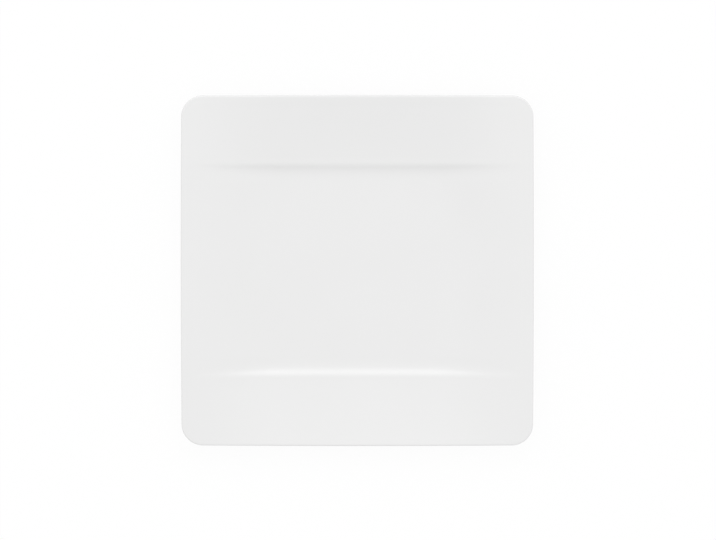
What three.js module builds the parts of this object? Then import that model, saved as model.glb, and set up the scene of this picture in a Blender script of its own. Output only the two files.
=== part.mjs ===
// Square porcelain breakfast plate, in millimetres, with +Z up. It stands on the plane z = 0 with its centre
// over the origin. X runs along the two creases of its face, and +Y points to the back rim.
//
// The fired body carries two coats of glaze: one over the face, the lip and the underside, and one on the
// base panel inside the foot ring. The foot between them is wiped bare, so that it can't stick to the kiln
// shelf.
import * as THREE from 'three';

// Outline, over the glaze
const PLATE_WIDTH = 230; // along X, at the middle of the sides
const PLATE_DEPTH = 230; // along Y, at the middle of the sides
const CORNER_RADIUS = 13.8;
const SIDE_BOW = 0.5; // how far each side swells past the line between its corners

// Face: a flat well, a soft step up to a crease at the front and back, and a hollow rim beyond each crease
const RIM_WIDTH = 43.4; // from the edge to the crease
const RIM_RISE = 6.6; // from the crease to the edge
const RIM_HOLLOW = 0.2; // share of that rise that the rim's curve makes, the rest being an even slope
const STEP_RUN = 14; // from the well to the crease, at the middle of the step
const STEP_NARROWING = 0.6; // share of that run that the step loses on the way out to the sides
const STEP_NARROWING_BEND = 3; // power of the curve in which it narrows
const STEP_DROP = 2.4; // from the crease to the well
const STEP_TURN = 0.7; // where in its run the step turns from hollow to crowned
const STEP_HOLLOW = 3.2; // power by which its hollow steepens
const SLOPE_WIDTH = 59; // of the left and right slopes, from the edge to the well, at the middle of the sides
const SLOPE_SPREAD = 7; // how much wider they are at the creases, which rounds the well's corners
const SLOPE_BEND = 4; // power of the curve that rounds them

// Wall, over the glaze
const EDGE_THICKNESS = 3;
const LIP_REACH = 0.85; // how far the lip rounds out past the face and the underside
const WELL_THICKNESS = 4.6;
const GLAZE_THICKNESS = 0.25;

// Foot ring
const FOOT_OVERHANG = 56; // from the edge in to the ring
const FOOT_CORNER_RADIUS = 22;
const FOOT_WIDTH = 3.5; // of the ring, where the glaze stops
const FOOT_RECESS = 4.4; // from the table up to the base panel
const FOOT_FILLET = 1.6;
const FOOT_BEVEL = 0.4; // on each side of the flat that stands on the table
const GLAZE_STOP = 1; // the foot is bare from the table up to this height

// How finely the surfaces are divided
const CORNER_CELLS = 3;
const SLOPE_CELLS = 6;
const WELL_CELLS = 2;
const STEP_CELLS = 6;
const RIM_CELLS = 3;
const LIP_CELLS = 6;
const UNDERSIDE_CELLS = 5;
const FILLET_ANGLE = Math.PI / 4; // where on its quarter turn a fillet is divided
const LONGEST_FILLET = 0.8; // share of its wall that a fillet may take up

const FACE_DEPTH = RIM_RISE + STEP_DROP;
const LIP_HALF = EDGE_THICKNESS / 2 - GLAZE_THICKNESS;
const BODY_WELL_THICKNESS = WELL_THICKNESS - 2 * GLAZE_THICKNESS;
const PANEL_HEIGHT = FOOT_RECESS + GLAZE_THICKNESS;
const EDGE_HEIGHT = PANEL_HEIGHT + BODY_WELL_THICKNESS + FACE_DEPTH;

// A loop is a rounded rectangle in plan, some distance in from the plate's outline
const loopInside = (distance, radius) => ({
  halfX: PLATE_WIDTH / 2 - SIDE_BOW - distance,
  halfY: PLATE_DEPTH / 2 - SIDE_BOW - distance,
  radius,
});

const grow = (loop, by) => ({
  halfX: loop.halfX + by,
  halfY: loop.halfY + by,
  radius: loop.radius + by,
});

const between = (from, to, share) => ({
  halfX: THREE.MathUtils.lerp(from.halfX, to.halfX, share),
  halfY: THREE.MathUtils.lerp(from.halfY, to.halfY, share),
  radius: THREE.MathUtils.lerp(from.radius, to.radius, share),
});

const outline = loopInside(0, CORNER_RADIUS);
const lipLine = grow(outline, -LIP_REACH); // where the lip begins
const footOutside = loopInside(FOOT_OVERHANG, FOOT_CORNER_RADIUS);
const footInside = grow(footOutside, -FOOT_WIDTH);

const creaseY = outline.halfY - RIM_WIDTH;
const wellY = creaseY - STEP_RUN;
const wellX = outline.halfX - SLOPE_WIDTH - SLOPE_SPREAD; // at the creases, where the well is narrowest

// How far the front and back rims, their steps and the well lie below the edge, without the slopes
function dropAcross(x, y) {
  const reach = Math.abs(y);
  if (reach > creaseY) {
    const out = Math.min((reach - creaseY) / (lipLine.halfY - creaseY), 1);
    return RIM_RISE * (1 - (1 - RIM_HOLLOW) * out - RIM_HOLLOW * out * out);
  }
  const narrowed = STEP_NARROWING * (Math.abs(x) / outline.halfX) ** STEP_NARROWING_BEND;
  const up = Math.max(1 - (creaseY - reach) / (STEP_RUN * (1 - narrowed)), 0);
  const turnHeight = (2 * STEP_TURN) / (STEP_HOLLOW * (1 - STEP_TURN) + 2 * STEP_TURN);
  const hollow = turnHeight * (up / STEP_TURN) ** STEP_HOLLOW;
  const crown = 1 - (1 - turnHeight) * ((1 - up) / (1 - STEP_TURN)) ** 2;
  return FACE_DEPTH - STEP_DROP * (up < STEP_TURN ? hollow : crown);
}

// The left and right slopes lift all of that to the level of the edge
function drop(x, y) {
  const spread = Math.min(Math.abs(y) / wellY, 1) ** SLOPE_BEND;
  const slopeFoot = outline.halfX - SLOPE_WIDTH - SLOPE_SPREAD * spread;
  const lifted = THREE.MathUtils.smoothstep(Math.abs(x), slopeFoot, lipLine.halfX);
  return dropAcross(x, y) * (1 - lifted);
}

const faceHeight = (x, y) => EDGE_HEIGHT - drop(x, y);

function underHeight(x, y) {
  const thicker = (BODY_WELL_THICKNESS - 2 * LIP_HALF) * (drop(x, y) / FACE_DEPTH);
  return faceHeight(x, y) - 2 * LIP_HALF - thicker;
}

// A place on a loop is given by two numbers: up to 1 it is on the straight sides, and from 1 to 2 in the
// corner, where a square turns into a quarter of a disc
function planPoint(u, v, loop) {
  const turn = (t) => Math.max(Math.abs(t) - 1, 0);
  const along = (t, other, half) => {
    const straight = Math.min(Math.abs(t), 1) * (half - loop.radius);
    const round = turn(t) * loop.radius * Math.sqrt(1 - turn(other) ** 2 / 2);
    return Math.sign(t) * (straight + round);
  };
  return [along(u, v, loop.halfX), along(v, u, loop.halfY)];
}

// The sides swell most at their middle
function bowed(x, y, z) {
  const swell = (along, across, halfAlong, halfAcross) =>
    along + SIDE_BOW * (along / halfAlong) * (1 - (across / halfAcross) ** 2);
  return new THREE.Vector3(
    swell(x, y, outline.halfX, outline.halfY),
    swell(y, x, outline.halfY, outline.halfX),
    z,
  );
}

// Evenly spaced values after the first, up to and including the last
const steps = (first, last, count) =>
  Array.from({ length: count }, (_, k) => THREE.MathUtils.lerp(first, last, (k + 1) / count));

// The face's grid lines: those of one half, from the middle out, mirrored to the other
function gridLines(straight) {
  const straightEnd = straight.at(-1);
  const half = [...straight.map((place) => place / straightEnd), ...steps(1, 2, CORNER_CELLS)];
  return [...half.map((t) => -t).reverse(), 0, ...half];
}

const columns = gridLines([wellX, ...steps(wellX, lipLine.halfX - lipLine.radius, SLOPE_CELLS)]);
const rows = gridLines([
  ...steps(0, wellY, WELL_CELLS),
  ...steps(wellY, creaseY, STEP_CELLS),
  ...steps(creaseY, lipLine.halfY - lipLine.radius, RIM_CELLS),
]);

const points = [];

function place(u, v, loop, heightAt) {
  const [x, y] = planPoint(u, v, loop);
  points.push(bowed(x, y, heightAt(x, y)));
  return points.length - 1;
}

const face = rows.map((v) => columns.map((u) => place(u, v, lipLine, faceHeight)));

// The places round the edge of the face, anticlockwise seen from above
const lastColumn = columns.length - 1;
const lastRow = rows.length - 1;
const count = (n) => Array.from({ length: n }, (_, k) => k);
const stations = [
  ...count(lastColumn).map((k) => [k, 0]),
  ...count(lastRow).map((k) => [lastColumn, k]),
  ...count(lastColumn).map((k) => [lastColumn - k, lastRow]),
  ...count(lastRow).map((k) => [0, lastRow - k]),
];

const ring = (loop, heightAt) =>
  stations.map(([i, j]) => place(columns[i], rows[j], loop, heightAt));

// The face's triangles, with each square cut towards the nearest corner of the plate
function faceTriangles() {
  const triangles = [];
  for (let j = 0; j < lastRow; j += 1) {
    for (let i = 0; i < lastColumn; i += 1) {
      const [a, b, c, d] = [face[j][i], face[j][i + 1], face[j + 1][i + 1], face[j + 1][i]];
      const outward = (columns[i] + columns[i + 1]) * (rows[j] + rows[j + 1]) > 0;
      triangles.push(...(outward ? [[a, b, c], [a, c, d]] : [[a, b, d], [b, c, d]]));
    }
  }
  return triangles;
}

// The triangles between each ring and the next, going over the lip, in under the plate and down to the table
function bandTriangles(rings) {
  const triangles = [];
  for (let r = 1; r < rings.length; r += 1) {
    const [from, to] = [rings[r - 1], rings[r]];
    for (let k = 0; k < from.length; k += 1) {
      const next = (k + 1) % from.length;
      triangles.push([from[k], to[k], to[next]], [from[k], to[next], from[next]]);
    }
  }
  return triangles;
}

// The flat inside a ring, facing down
function panelTriangles(edge, height) {
  const middle = points.push(new THREE.Vector3(0, 0, height)) - 1;
  return edge.map((corner, k) => [corner, middle, edge[(k + 1) % edge.length]]);
}

// The round lip
const faceEdge = stations.map(([i, j]) => face[j][i]);
const lipRings = steps(0, Math.PI, LIP_CELLS).map((angle) =>
  ring(grow(lipLine, (LIP_REACH - GLAZE_THICKNESS) * Math.sin(angle)),
    (x, y) => faceHeight(x, y) - LIP_HALF * (1 - Math.cos(angle))));

// The underside, in to the foot ring, and the fillet down to the ring's outer wall
const fillet = Math.min(FOOT_FILLET, LONGEST_FILLET * (PANEL_HEIGHT - GLAZE_STOP));
const filletReach = fillet * (1 - Math.sin(FILLET_ANGLE));
const filletFall = fillet * (1 - Math.cos(FILLET_ANGLE));
const undersideRings = steps(0, 1, UNDERSIDE_CELLS).map((share) =>
  ring(between(lipLine, grow(footOutside, fillet), share), underHeight));
const outerFilletRing = ring(grow(footOutside, filletReach), (x, y) => underHeight(x, y) - filletFall);
const outerStop = ring(footOutside, () => GLAZE_STOP);

// The bare foot
const bearingRings = [
  ring(grow(footOutside, -FOOT_BEVEL), () => 0),
  ring(grow(footInside, FOOT_BEVEL), () => 0),
];
const innerStop = ring(footInside, () => GLAZE_STOP);

// The ring's inner wall and the fillet up to the base panel
const innerFilletRing = ring(grow(footInside, -filletReach), () => PANEL_HEIGHT - filletFall);
const panelEdge = ring(grow(footInside, -fillet), () => PANEL_HEIGHT);

const outerSkin = [
  ...faceTriangles(),
  ...bandTriangles([faceEdge, ...lipRings, ...undersideRings, outerFilletRing, outerStop]),
];
const bareFoot = bandTriangles([outerStop, ...bearingRings, innerStop]);
const baseSkin = [
  ...bandTriangles([innerStop, innerFilletRing, panelEdge]),
  ...panelTriangles(panelEdge, PANEL_HEIGHT),
];

function geometryOf(vertices, triangles) {
  const geometry = new THREE.BufferGeometry();
  geometry.setFromPoints(vertices);
  geometry.setIndex(triangles.flat());
  geometry.computeVertexNormals();
  return geometry;
}

// A coat of glaze over part of the body's surface: the body's own triangles turned over, the same ones again
// a glaze's thickness further out, and a strip along each open edge
function coatOf(skin) {
  const numbers = new Map();
  for (const corner of skin.flat()) {
    if (!numbers.has(corner)) numbers.set(corner, numbers.size);
  }
  const inside = [...numbers.keys()].map((corner) => points[corner]);
  const outer = skin.map((triangle) => triangle.map((corner) => numbers.get(corner)));
  const normals = geometryOf(inside, outer).getAttribute('normal');
  const outside = inside.map((point, k) =>
    new THREE.Vector3().fromBufferAttribute(normals, k).multiplyScalar(GLAZE_THICKNESS).add(point));
  const lower = (corner) => corner + outside.length;
  const inner = outer.map(([a, b, c]) => [lower(a), lower(c), lower(b)]);

  const edges = outer.flatMap(([a, b, c]) => [[a, b], [b, c], [c, a]]);
  const known = new Set(edges.map((edge) => edge.join()));
  const open = edges.filter(([a, b]) => !known.has([b, a].join()));
  const strips = open.flatMap(([a, b]) => [[b, a, lower(a)], [b, lower(a), lower(b)]]);
  return geometryOf([...outside, ...inside], [...outer, ...inner, ...strips]);
}

const biscuit = new THREE.MeshStandardMaterial({ color: 0xe8e6e1, roughness: 0.7, metalness: 0 });
const glaze = new THREE.MeshStandardMaterial({ color: 0xededed, roughness: 0.12, metalness: 0 });

const plate = new THREE.Group();

function addPart(name, geometry, material) {
  const mesh = new THREE.Mesh(geometry, material);
  mesh.name = name;
  plate.add(mesh);
}

addPart('porcelain_body', geometryOf(points, [...outerSkin, ...bareFoot, ...baseSkin]), biscuit);
addPart('outer_glaze', coatOf(outerSkin), glaze);
addPart('base_glaze', coatOf(baseSkin), glaze);

export default plate;
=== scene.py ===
import math
from collections import namedtuple

import bpy
import numpy as np
from mathutils import Euler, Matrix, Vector


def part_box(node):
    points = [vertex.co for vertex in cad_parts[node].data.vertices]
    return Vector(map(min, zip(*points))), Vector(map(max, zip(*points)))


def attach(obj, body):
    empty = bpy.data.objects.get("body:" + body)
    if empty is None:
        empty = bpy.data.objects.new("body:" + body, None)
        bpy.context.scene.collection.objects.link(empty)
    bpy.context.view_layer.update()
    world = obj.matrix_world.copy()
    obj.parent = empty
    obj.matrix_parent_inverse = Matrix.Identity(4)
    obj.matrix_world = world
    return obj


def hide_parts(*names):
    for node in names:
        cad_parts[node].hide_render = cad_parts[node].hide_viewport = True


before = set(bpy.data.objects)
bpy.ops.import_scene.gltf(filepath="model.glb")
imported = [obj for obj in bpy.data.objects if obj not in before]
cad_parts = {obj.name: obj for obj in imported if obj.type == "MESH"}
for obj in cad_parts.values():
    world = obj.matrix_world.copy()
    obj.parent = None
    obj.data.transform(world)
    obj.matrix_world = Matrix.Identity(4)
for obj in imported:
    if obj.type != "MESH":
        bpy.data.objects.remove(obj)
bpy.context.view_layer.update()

# A rounded rectangle about the plate's centre
Loop = namedtuple("Loop", "half_x half_y radius")

# A pattern: its waves to the metre, the octaves of finer waves on them, and the range in which it stays
Noise = namedtuple("Noise", "waves detail low high", defaults=(0, 1))

# Sizes in metres. X runs along the two creases of the plate's face, +Y points to the back rim, +Z up.
MM = 0.001
SIDE_BOW = 0.5 * MM  # how far each side swells past the line between its corners
CORNER_RADIUS = 13.8 * MM
RIM_WIDTH = 43.4 * MM  # front and back rims, from the edge to the crease
RIM_RISE = 6.6 * MM  # from the crease to the edge
RIM_HOLLOW = 0.2  # share of that rise that the rim's curve makes, the rest being an even slope
RIM_ROLL = 0.5 * MM  # width in which the rim eases to level before the lip
STEP_RUN = 14 * MM  # from the well to the crease, at the middle of the step
STEP_NARROWING = 0.6  # share of that run that the step loses on the way out to the sides
STEP_NARROWING_BEND = 3  # power of the curve in which it narrows
STEP_DROP = 2.4 * MM  # from the crease to the well
STEP_TURN = 0.7  # where in its run the step turns from hollow to crowned
STEP_HOLLOW = 3.2  # power by which its hollow steepens
SLOPE_WIDTH = 59 * MM  # left and right slopes, at the middle of the sides
SLOPE_SPREAD = 7 * MM  # how much wider they are at the creases, which rounds the well's corners
SLOPE_BEND = 4  # power of the curve that rounds them
EDGE_THICKNESS = 3 * MM
LIP_REACH = 0.85 * MM  # how far the lip rounds out past the face, with its glaze
GLAZE_THICKNESS = 0.25 * MM
FOOT_OVERHANG = 56 * MM  # from the edge in to the foot ring
FOOT_CORNER_RADIUS = 22 * MM
FOOT_WIDTH = 3.5 * MM
FOOT_FILLET = 1.6 * MM
FOOT_BEVEL = 0.4 * MM
GLAZE_STOP = 1 * MM  # the foot is bare from the table up to this height
GLAZE_BEAD = 0.5 * MM  # length in which a coat rounds off to nothing at its stop

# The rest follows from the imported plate
LOW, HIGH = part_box("outer_glaze")
HALF_WIDTH = HIGH.x - SIDE_BOW
HALF_DEPTH = HIGH.y - SIDE_BOW
EDGE_HEIGHT = HIGH.z - GLAZE_THICKNESS
PANEL_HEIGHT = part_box("base_glaze")[1].z
FACE_DEPTH = RIM_RISE + STEP_DROP
LIP_HALF = EDGE_THICKNESS / 2 - GLAZE_THICKNESS
BODY_WELL_THICKNESS = EDGE_HEIGHT - FACE_DEPTH - PANEL_HEIGHT

# How finely the surfaces are divided, over half of the plate or round one turn
CORNER_CELLS = 12
WELL_CELLS = 8
SLOPE_CELLS = 20
STEP_CELLS = 24
RIM_CELLS = 14
LIP_CELLS = 16
UNDERSIDE_CELLS = 28
ROUND_CELLS = 6
WALL_CELLS = 2
SHARP_ANGLE = math.radians(50)

# The glaze and the bare porcelain, each with two shades that it clouds between
GLAZE_SHADES = (0.832, 0.832, 0.830), (0.848, 0.848, 0.848)
GLAZE_CLOUDS = Noise(waves=22, detail=3)
GLAZE_INDEX = 1.5
GLAZE_ROUGHNESS = Noise(waves=140, detail=4, low=0.12, high=0.2)
GLAZE_RIPPLES = Noise(waves=260, detail=2)
GLAZE_RIPPLE_HEIGHT = 0.02 * MM
GLAZE_RIPPLE_STRENGTH = 0.12
BISCUIT_SHADES = (0.77, 0.755, 0.725), (0.83, 0.82, 0.795)
BISCUIT_CLOUDS = Noise(waves=900, detail=6)
BISCUIT_ROUGHNESS = Noise(waves=1500, detail=4, low=0.55, high=0.8)
BISCUIT_GRAIN = Noise(waves=4200, detail=4)
BISCUIT_GRAIN_HEIGHT = 0.03 * MM
BISCUIT_GRAIN_STRENGTH = 0.35

# The floor and the light
FLOOR_HALF = 20
FLOOR_GAP = 0.05 * MM  # from the floor up to the foot
FLOOR_ALBEDO = 0.8
FLOOR_SHADOW = 0.06  # share of the floor's look that comes from the light falling on it
WORLD_LIGHT = 0.876
WORLD_LEAN = 0.15  # how much stronger the light is straight from behind
SOFTBOX_AZIMUTH = math.radians(3)  # from straight behind the plate, to its right
SOFTBOX_ELEVATION = math.radians(50)
SOFTBOX_DISTANCE = 3
SOFTBOX_SIZE = (4.2, 2.8)
SOFTBOX_POWER = 50  # watts

# The photograph's frame, the plate's place in it, and the view
PHOTO_WIDTH, PHOTO_HEIGHT = 716, 540
PLATE_PIXELS = 353.1
PLATE_MIDDLE_PIXEL = (357.3, 270.6)
CAMERA_TILT = math.radians(-6)  # from straight down: the camera stands towards the back rim
LENS = 800  # millimetres, like the sensor
SENSOR_WIDTH = 36


def grow(loop, by):
    """The same rounded rectangle, by so much further out."""
    return Loop(loop.half_x + by, loop.half_y + by, loop.radius + by)


def between(start, end, share):
    return Loop(*(a + (b - a) * share for a, b in zip(start, end)))


OUTLINE = Loop(HALF_WIDTH, HALF_DEPTH, CORNER_RADIUS)
LIP_LINE = grow(OUTLINE, -LIP_REACH)
FOOT_OUTSIDE = Loop(HALF_WIDTH - FOOT_OVERHANG, HALF_DEPTH - FOOT_OVERHANG, FOOT_CORNER_RADIUS)
FOOT_INSIDE = grow(FOOT_OUTSIDE, -FOOT_WIDTH)
CREASE_Y = HALF_DEPTH - RIM_WIDTH
WELL_Y = CREASE_Y - STEP_RUN
WELL_X = HALF_WIDTH - SLOPE_WIDTH - SLOPE_SPREAD


def drop_across(x, y):
    """How far the rims, their steps and the well lie below the edge, without the slopes."""
    reach = np.abs(y)

    def eased(d):
        return np.where(d < RIM_ROLL, d * d / (2 * RIM_ROLL), d - RIM_ROLL / 2)

    out = 1 - eased(np.maximum(LIP_LINE.half_y - reach, 0)) / eased(LIP_LINE.half_y - CREASE_Y)
    rim = RIM_RISE * (1 - (1 - RIM_HOLLOW) * out - RIM_HOLLOW * out**2)
    narrowed = STEP_NARROWING * (np.abs(x) / HALF_WIDTH) ** STEP_NARROWING_BEND
    up = np.clip(1 - (CREASE_Y - reach) / (STEP_RUN * (1 - narrowed)), 0, 1)
    turn_height = 2 * STEP_TURN / (STEP_HOLLOW * (1 - STEP_TURN) + 2 * STEP_TURN)
    hollow = turn_height * (up / STEP_TURN) ** STEP_HOLLOW
    crown = 1 - (1 - turn_height) * ((1 - up) / (1 - STEP_TURN)) ** 2
    climbed = np.where(up < STEP_TURN, hollow, crown)
    return np.where(reach > CREASE_Y, rim, FACE_DEPTH - STEP_DROP * climbed)


def drop(x, y):
    """The same with the left and right slopes, which lift it to the level of the edge."""
    spread = np.minimum(np.abs(y) / WELL_Y, 1) ** SLOPE_BEND
    slope_foot = HALF_WIDTH - SLOPE_WIDTH - SLOPE_SPREAD * spread
    t = np.clip((np.abs(x) - slope_foot) / (LIP_LINE.half_x - slope_foot), 0, 1)
    return drop_across(x, y) * (1 - t * t * (3 - 2 * t))


def face_height(x, y):
    return EDGE_HEIGHT - drop(x, y)


def under_height(x, y):
    thicker = (BODY_WELL_THICKNESS - 2 * LIP_HALF) * drop(x, y) / FACE_DEPTH
    return face_height(x, y) - 2 * LIP_HALF - thicker


def panel_height(x, y):
    return np.full(x.shape, PANEL_HEIGHT)


def plan_point(u, v, loop):
    """A place on or in a loop: up to 1 along its straight sides, and from 1 to 2 in its corners."""

    def turn(t):
        return np.maximum(np.abs(t) - 1, 0)

    def along(t, other, half):
        straight = np.minimum(np.abs(t), 1) * (half - loop.radius)
        return np.sign(t) * (straight + turn(t) * loop.radius * np.sqrt(1 - turn(other) ** 2 / 2))

    return along(u, v, loop.half_x), along(v, u, loop.half_y)


def bowed(x, y):
    """The sides swell most at their middle."""
    swollen_x = x + SIDE_BOW * (x / HALF_WIDTH) * (1 - (y / HALF_DEPTH) ** 2)
    swollen_y = y + SIDE_BOW * (y / HALF_DEPTH) * (1 - (x / HALF_WIDTH) ** 2)
    return swollen_x, swollen_y


def spaced(first, last, count):
    """Evenly spaced values after the first, up to and including the last."""
    return [first + (last - first) * (k + 1) / count for k in range(count)]


def grid_lines(straight):
    """Lines of the face's grid: those of one half, from the middle out, mirrored to the other."""
    half = [line / straight[-1] for line in straight] + spaced(1, 2, CORNER_CELLS)
    return np.array([-t for t in reversed(half)] + [0.0] + half)


COLUMNS = grid_lines(
    spaced(0, WELL_X, WELL_CELLS)
    + spaced(WELL_X, LIP_LINE.half_x - LIP_LINE.radius, SLOPE_CELLS)
)
ROWS = grid_lines(
    spaced(0, WELL_Y, WELL_CELLS)
    + spaced(WELL_Y, CREASE_Y, STEP_CELLS)
    + spaced(CREASE_Y, LIP_LINE.half_y - LIP_LINE.radius, RIM_CELLS)
)


def edge_of(grid):
    """The outermost entries of a grid, anticlockwise seen from above."""
    return np.concatenate([grid[0, :-1], grid[:-1, -1], grid[-1, :0:-1], grid[:0:-1, 0]])


GRID_U, GRID_V = np.meshgrid(COLUMNS, ROWS)
RING_U, RING_V = edge_of(GRID_U), edge_of(GRID_V)
QUARTER_TURN = spaced(0, math.pi / 2, ROUND_CELLS)

placed = []  # the body's points, in the arrays in which they were added


def place(u, v, loop, height):
    """Adds points at those places of a loop and returns their numbers, in the same arrangement."""
    x, y = plan_point(u, v, loop)
    first = sum(len(points) for points in placed)
    placed.append(np.stack([*bowed(x, y), height(x, y)], axis=-1).reshape(-1, 3))
    return first + np.arange(x.size).reshape(x.shape)


def ring(loop, height, fall=0.0):
    """Points round a loop, by a fall below a height that follows the plate."""
    return place(RING_U, RING_V, loop, lambda x, y: height(x, y) - fall)


def level_ring(loop, level):
    return place(RING_U, RING_V, loop, lambda x, y: np.full(x.shape, level))


def grid_faces(grid):
    corners = grid[:-1, :-1], grid[:-1, 1:], grid[1:, 1:], grid[1:, :-1]
    return np.stack(corners, axis=-1).reshape(-1, 4)


def band_faces(rings):
    """The faces between each ring and the next, going over the lip, in underneath and down to the table."""
    bands = [
        np.stack([a, b, np.roll(b, -1), np.roll(a, -1)], axis=-1) for a, b in zip(rings, rings[1:])
    ]
    return np.concatenate(bands)


def lip_ring(angle):
    """Part of the half turn from the face over the lip to the underside."""
    out = (LIP_REACH - GLAZE_THICKNESS) * math.sin(angle)
    return ring(grow(LIP_LINE, out), face_height, LIP_HALF * (1 - math.cos(angle)))


def fillet_rings(loop, outward, height):
    """A quarter turn from under the plate down to the foot ring's wall, or back up inside it."""
    return [
        ring(
            grow(loop, outward * FOOT_FILLET * (1 - math.sin(angle))),
            height,
            FOOT_FILLET * (1 - math.cos(angle)),
        )
        for angle in QUARTER_TURN
    ]


def wall_rings(loop):
    """Down a wall of the foot ring from its fillet to the glaze's stop, closer together in the bead."""
    heights = spaced(PANEL_HEIGHT - FOOT_FILLET, GLAZE_STOP + GLAZE_BEAD, WALL_CELLS)
    heights += [GLAZE_STOP + GLAZE_BEAD * (1 - math.sin(angle)) for angle in QUARTER_TURN]
    return [level_ring(loop, height) for height in heights]


def bevel_rings(loop, outward, angles):
    """Between a wall of the foot ring, at an angle of 0, and the flat that the plate stands on."""
    return [
        level_ring(
            grow(loop, outward * FOOT_BEVEL * (1 - math.cos(angle))),
            FOOT_BEVEL * (1 - math.sin(angle)),
        )
        for angle in angles
    ]


face = place(GRID_U, GRID_V, LIP_LINE, face_height)
lip = [lip_ring(angle) for angle in spaced(0, math.pi, LIP_CELLS)]
underside = [
    ring(between(LIP_LINE, grow(FOOT_OUTSIDE, FOOT_FILLET), share), under_height)
    for share in spaced(0, 1, UNDERSIDE_CELLS)
]
outer_fillet = fillet_rings(FOOT_OUTSIDE, 1, under_height)
outer_wall = wall_rings(FOOT_OUTSIDE)
outer_bevel = bevel_rings(FOOT_OUTSIDE, -1, [0.0, *QUARTER_TURN])
inner_bevel = bevel_rings(FOOT_INSIDE, 1, [*reversed(QUARTER_TURN), 0.0])
inner_wall = wall_rings(FOOT_INSIDE)
inner_fillet = fillet_rings(FOOT_INSIDE, -1, panel_height)
panel = place(GRID_U, GRID_V, grow(FOOT_INSIDE, -FOOT_FILLET), panel_height)
body_points = np.concatenate(placed)

outer_skin = np.concatenate(
    [grid_faces(face), band_faces([edge_of(face), *lip, *underside, *outer_fillet, *outer_wall])]
)
bare_foot = band_faces([outer_wall[-1], *outer_bevel, *inner_bevel, inner_wall[-1]])
base_skin = np.concatenate(
    [
        band_faces([*reversed(inner_wall), *reversed(inner_fillet), edge_of(panel)]),
        grid_faces(panel)[:, ::-1],
    ]
)


def vertex_normals(vertices, faces):
    a, b, c, d = (vertices[faces[:, k]] for k in range(4))
    across = np.cross(c - a, d - b)
    normals = np.zeros_like(vertices)
    for k in range(4):
        np.add.at(normals, faces[:, k], across)
    return normals / np.linalg.norm(normals, axis=1, keepdims=True)


def coat(skin, thickness):
    """Vertices and faces of a closed coat over part of the body: the skin itself turned over, and the skin
    again further out. Where the thickness is nothing, the two meet in one vertex."""
    used, local = np.unique(skin, return_inverse=True)
    inner = local.reshape(skin.shape)
    base, depth = body_points[used], thickness[used]
    raised = np.flatnonzero(depth > 0)
    outer_number = np.arange(len(used))
    outer_number[raised] = len(used) + np.arange(len(raised))
    outside = base[raised] + vertex_normals(base, inner)[raised] * depth[raised, None]
    return np.concatenate([base, outside]), np.concatenate([outer_number[inner], inner[:, ::-1]])


def glaze_depth():
    """How thick the glaze is at each point of the body: even, but rounded off in the beads at its stops."""
    depth = np.full(len(body_points), GLAZE_THICKNESS)
    for wall in (outer_wall, inner_wall):
        for rounded in wall[WALL_CELLS:]:
            climb = (body_points[rounded, 2] - GLAZE_STOP) / GLAZE_BEAD
            depth[rounded] *= np.sqrt(np.maximum(1 - (1 - climb) ** 2, 0))
        depth[wall[-1]] = 0
    return depth


def new_material(name):
    material = bpy.data.materials.new(name)
    material.use_nodes = True
    tree = material.node_tree
    return material, tree, tree.nodes["Principled BSDF"]


def varied(tree, noise):
    """A value that varies over the surface as the noise says."""
    where = tree.nodes.new("ShaderNodeTexCoord")
    texture = tree.nodes.new("ShaderNodeTexNoise")
    texture.inputs["Scale"].default_value = noise.waves
    texture.inputs["Detail"].default_value = noise.detail
    spread = tree.nodes.new("ShaderNodeMapRange")
    spread.inputs["To Min"].default_value = noise.low
    spread.inputs["To Max"].default_value = noise.high
    tree.links.new(where.outputs["Object"], texture.inputs["Vector"])
    tree.links.new(texture.outputs["Fac"], spread.inputs["Value"])
    return spread.outputs["Result"]


def tint(tree, share, first, second):
    """A colour between two, by a share from 0 to 1."""
    mix = tree.nodes.new("ShaderNodeMix")
    mix.data_type = "RGBA"
    mix.inputs["A"].default_value = (*first, 1)
    mix.inputs["B"].default_value = (*second, 1)
    tree.links.new(share, mix.inputs["Factor"])
    return mix.outputs["Result"]


def bump(tree, height, strength, distance):
    node = tree.nodes.new("ShaderNodeBump")
    node.inputs["Strength"].default_value = strength
    node.inputs["Distance"].default_value = distance
    tree.links.new(height, node.inputs["Height"])
    return node.outputs["Normal"]


def glaze_material():
    """Clear gloss glaze fired on white porcelain: nearly even, with a faint ripple from its flow."""
    material, tree, shader = new_material("porcelain_glaze")
    shade = tint(tree, varied(tree, GLAZE_CLOUDS), *GLAZE_SHADES)
    roughness = varied(tree, GLAZE_ROUGHNESS)
    ripple = bump(tree, varied(tree, GLAZE_RIPPLES), GLAZE_RIPPLE_STRENGTH, GLAZE_RIPPLE_HEIGHT)
    tree.links.new(shade, shader.inputs["Base Color"])
    shader.inputs["IOR"].default_value = GLAZE_INDEX
    tree.links.new(roughness, shader.inputs["Roughness"])
    tree.links.new(ripple, shader.inputs["Normal"])
    return material


def biscuit_material():
    """Bare fired porcelain, matt and finely grained, as it shows on the wiped foot."""
    material, tree, shader = new_material("porcelain_biscuit")
    shade = tint(tree, varied(tree, BISCUIT_CLOUDS), *BISCUIT_SHADES)
    roughness = varied(tree, BISCUIT_ROUGHNESS)
    grain = bump(tree, varied(tree, BISCUIT_GRAIN), BISCUIT_GRAIN_STRENGTH, BISCUIT_GRAIN_HEIGHT)
    tree.links.new(shade, shader.inputs["Base Color"])
    tree.links.new(roughness, shader.inputs["Roughness"])
    tree.links.new(grain, shader.inputs["Normal"])
    return material


def add_object(name, data):
    added = bpy.data.objects.new(name, data)
    bpy.context.scene.collection.objects.link(added)
    return added


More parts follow.
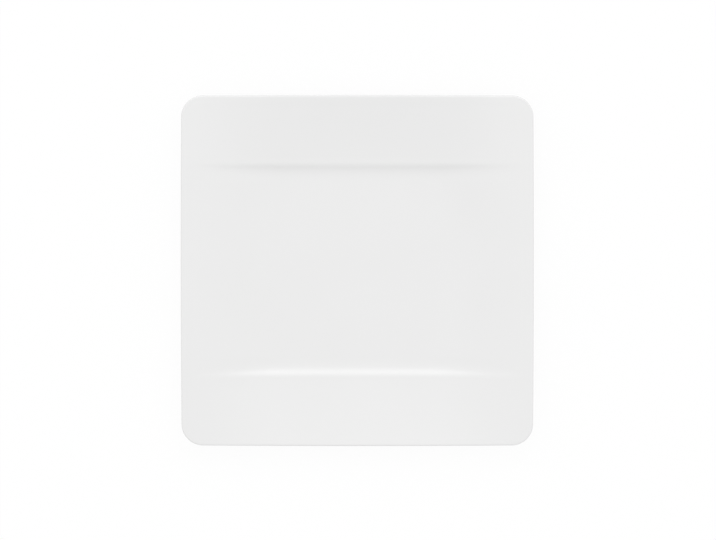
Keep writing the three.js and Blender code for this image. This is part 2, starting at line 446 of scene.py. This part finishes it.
def add_piece(name, node, vertices, faces, material, slot):
    """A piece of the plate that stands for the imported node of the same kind."""
    mesh = bpy.data.meshes.new(name)
    mesh.from_pydata(vertices.tolist(), [], faces.tolist())
    mesh.shade_smooth()
    mesh.set_sharp_from_angle(angle=SHARP_ANGLE)
    mesh.materials.append(material)
    piece = add_object(name, mesh)
    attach(piece, "root")
    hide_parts(node)


def add_plate():
    glaze, biscuit = glaze_material(), biscuit_material()
    body_skin = np.concatenate([outer_skin, bare_foot, base_skin])
    depth = glaze_depth()
    add_piece("plate_body", "porcelain_body", body_points, body_skin, biscuit, "biscuit")
    add_piece("plate_outer_glaze", "outer_glaze", *coat(outer_skin, depth), glaze, "glaze")
    add_piece("plate_base_glaze", "base_glaze", *coat(base_skin, depth), glaze, "glaze")


def seen_ray(tree):
    """1 for rays that show the background: from the camera, or by way of gloss or glass."""
    path = tree.nodes.new("ShaderNodeLightPath")
    seen = path.outputs["Is Camera Ray"]
    for kind in ("Is Glossy Ray", "Is Transmission Ray"):
        either = tree.nodes.new("ShaderNodeMath")
        either.operation = "MAXIMUM"
        tree.links.new(seen, either.inputs[0])
        tree.links.new(path.outputs[kind], either.inputs[1])
        seen = either.outputs[0]
    return seen


def floor_material():
    """White paper: a pale surface to the light, and white with the plate's faint shadow to the eye."""
    material, tree, shader = new_material("white_floor")
    tree.nodes.remove(shader)
    paper = tree.nodes.new("ShaderNodeBsdfDiffuse")
    paper.inputs["Color"].default_value = (FLOOR_ALBEDO,) * 3 + (1,)
    shaded = tree.nodes.new("ShaderNodeBsdfDiffuse")
    shaded.inputs["Color"].default_value = (FLOOR_SHADOW,) * 3 + (1,)
    glow = tree.nodes.new("ShaderNodeEmission")
    glow.inputs["Strength"].default_value = 1 - FLOOR_SHADOW
    white = tree.nodes.new("ShaderNodeAddShader")
    tree.links.new(shaded.outputs[0], white.inputs[0])
    tree.links.new(glow.outputs[0], white.inputs[1])
    mix = tree.nodes.new("ShaderNodeMixShader")
    tree.links.new(seen_ray(tree), mix.inputs[0])
    tree.links.new(paper.outputs[0], mix.inputs[1])
    tree.links.new(white.outputs[0], mix.inputs[2])
    tree.links.new(mix.outputs[0], tree.nodes["Material Output"].inputs["Surface"])
    return material


def add_floor():
    corners = [(-1, -1), (1, -1), (1, 1), (-1, 1)]
    mesh = bpy.data.meshes.new("floor")
    mesh.from_pydata([(x * FLOOR_HALF, y * FLOOR_HALF, -FLOOR_GAP) for x, y in corners], [], [(0, 1, 2, 3)])
    mesh.materials.append(floor_material())
    floor = add_object("floor", mesh)


def add_world():
    """Soft light from all round, a little stronger from behind the plate than from its front."""
    world = bpy.data.worlds.new("studio")
    world.use_nodes = True
    bpy.context.scene.world = world
    tree = world.node_tree
    background = tree.nodes["Background"]
    background.inputs["Color"].default_value = (1, 1, 1, 1)
    where = tree.nodes.new("ShaderNodeTexCoord")
    direction = tree.nodes.new("ShaderNodeSeparateXYZ")
    light = tree.nodes.new("ShaderNodeMapRange")
    light.inputs["From Min"].default_value = -1
    light.inputs["To Min"].default_value = WORLD_LIGHT * (1 - WORLD_LEAN)
    light.inputs["To Max"].default_value = WORLD_LIGHT * (1 + WORLD_LEAN)
    level = tree.nodes.new("ShaderNodeMapRange")
    level.inputs["To Max"].default_value = 1
    tree.links.new(where.outputs["Generated"], direction.inputs["Vector"])
    tree.links.new(direction.outputs["Y"], light.inputs["Value"])
    tree.links.new(light.outputs["Result"], level.inputs["To Min"])
    tree.links.new(seen_ray(tree), level.inputs["Value"])
    tree.links.new(level.outputs["Result"], background.inputs["Strength"])


def fade_out(lamp):
    """Makes the lamp brightest at its middle, fading evenly to nothing at its rim."""
    middle = 0.5  # the lamp's own coordinates run from 0 to 1 across it
    lamp.use_nodes = True
    tree = lamp.node_tree
    where = tree.nodes.new("ShaderNodeNewGeometry")
    from_middle = tree.nodes.new("ShaderNodeVectorMath")
    from_middle.operation = "DISTANCE"
    from_middle.inputs[1].default_value = (middle, middle, 0)
    fade = tree.nodes.new("ShaderNodeMapRange")
    fade.inputs["From Max"].default_value = middle
    fade.inputs["To Min"].default_value = 1
    fade.inputs["To Max"].default_value = 0
    tree.links.new(where.outputs["Parametric"], from_middle.inputs[0])
    tree.links.new(from_middle.outputs["Value"], fade.inputs["Value"])
    tree.links.new(fade.outputs["Result"], tree.nodes["Emission"].inputs["Strength"])


def add_softbox():
    lamp = bpy.data.lights.new("softbox", "AREA")
    lamp.shape = "ELLIPSE"
    lamp.size, lamp.size_y = SOFTBOX_SIZE
    lamp.energy = SOFTBOX_POWER
    fade_out(lamp)
    softbox = add_object("softbox", lamp)
    flat = math.cos(SOFTBOX_ELEVATION)
    towards = Vector(
        (
            math.sin(SOFTBOX_AZIMUTH) * flat,
            math.cos(SOFTBOX_AZIMUTH) * flat,
            math.sin(SOFTBOX_ELEVATION),
        )
    )
    softbox.location = towards * SOFTBOX_DISTANCE
    softbox.rotation_euler = towards.to_track_quat("Z", "Y").to_euler()


def add_camera():
    """The photograph's view: from nearly straight above, leaning to the back rim, through a long lens."""
    camera = add_object("camera", bpy.data.cameras.new("camera"))
    camera.data.sensor_width = SENSOR_WIDTH
    camera.data.lens = LENS
    pixel = (HIGH.x - LOW.x) / PLATE_PIXELS
    distance = LENS / SENSOR_WIDTH * PHOTO_WIDTH * pixel
    to_right = (PHOTO_WIDTH / 2 - PLATE_MIDDLE_PIXEL[0]) * pixel
    to_top = (PLATE_MIDDLE_PIXEL[1] - PHOTO_HEIGHT / 2) * pixel
    turn = Euler((CAMERA_TILT, 0, 0))
    away = Vector((to_right, to_top, distance))
    away.rotate(turn)
    camera.rotation_euler = turn
    camera.location = Vector((0, 0, EDGE_HEIGHT - LIP_HALF)) + away
    bpy.context.scene.camera = camera


bpy.context.scene.view_settings.view_transform = "Standard"
add_camera()
add_plate()
add_floor()
add_world()
add_softbox()
